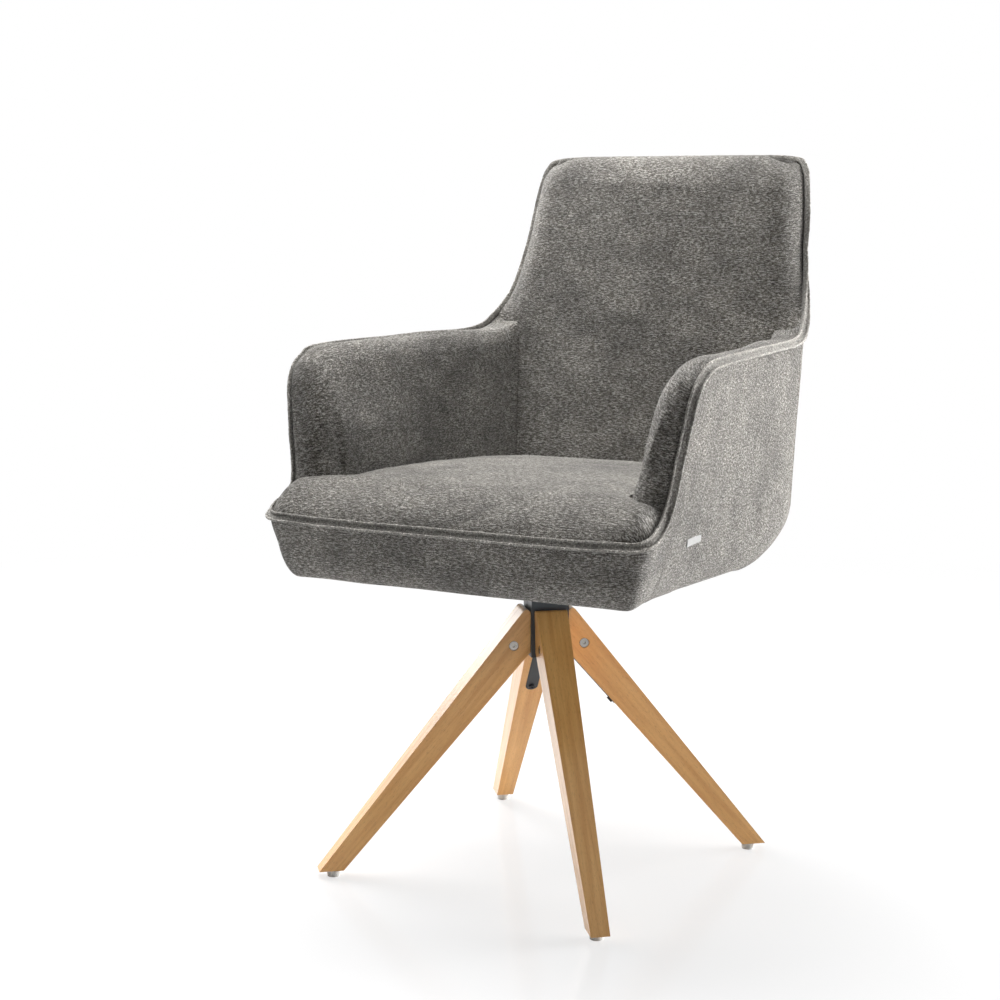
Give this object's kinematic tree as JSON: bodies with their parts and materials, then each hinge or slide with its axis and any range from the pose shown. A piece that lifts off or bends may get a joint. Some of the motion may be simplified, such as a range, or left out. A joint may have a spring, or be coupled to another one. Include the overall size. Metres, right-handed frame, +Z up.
{
  "type": "swivel armchair",
  "caption": "Upholstered bucket armchair with curved arms, a tall leaning back and corded edges, turning on a fixed cross of splayed wooden legs.",
  "frame": {"origin": "on the floor, under the swivel axis, in the middle of the leg cross", "axes": "+Z up along the swivel axis; the sitter faces -Y; +X is the sitter's left"},
  "size_m": [0.5536, 0.6827, 0.905],
  "materials": {
    "beech": "satin",
    "white_plastic": "matte",
    "dark_metal": "satin",
    "bright_steel": "polished",
    "black_steel": "satin",
    "cage_brass": "satin",
    "plywood": "matte",
    "foam": "matte",
    "upholstery": "matte",
    "welt_cloth": "matte",
    "underside_cloth": "matte",
    "tag_cloth": "matte"
  },
  "bodies": {
    "base": {"leg_front_left": "beech", "leg_rear_left": "beech", "leg_rear_right": "beech", "leg_front_right": "beech", "foot_glides": "white_plastic", "hub": "dark_metal", "leg_bolts": "bright_steel", "sleeve_nuts": "bright_steel", "leg_straps": "dark_metal", "strap_screws": "black_steel", "lower_bush": "white_plastic", "upper_bush": "white_plastic", "lower_race": "bright_steel"},
    "seat_unit": {"ball_cage": "cage_brass", "bearing_balls": "bright_steel", "upper_race": "bright_steel", "spindle": "bright_steel", "end_washer": "bright_steel", "retaining_ring": "black_steel", "mounting_plate": "dark_metal", "plate_screws": "bright_steel", "tee_nuts": "bright_steel", "seat_board": "plywood", "base_foam": "foam", "seat_cushion": "upholstery", "front_rail": "plywood", "side_rails": "plywood", "arm_frame_left": "plywood", "arm_frame_right": "plywood", "back_frame": "plywood", "arm_pad_left": "upholstery", "arm_pad_right": "upholstery", "back_pad": "upholstery", "front_apron": "upholstery", "outer_arm_left": "upholstery", "outer_arm_right": "upholstery", "outer_back": "upholstery", "underside_cover": "underside_cloth", "seat_welt": "welt_cloth", "arm_and_back_welt": "welt_cloth", "side_tag": "tag_cloth"}
  },
  "joints": [
    {"name": "swivel", "type": "hinge", "parent": "base", "child": "seat_unit", "pos_m": [0, 0, 0.36], "axis": [0, 0, 1], "continuous": true}
  ]
}
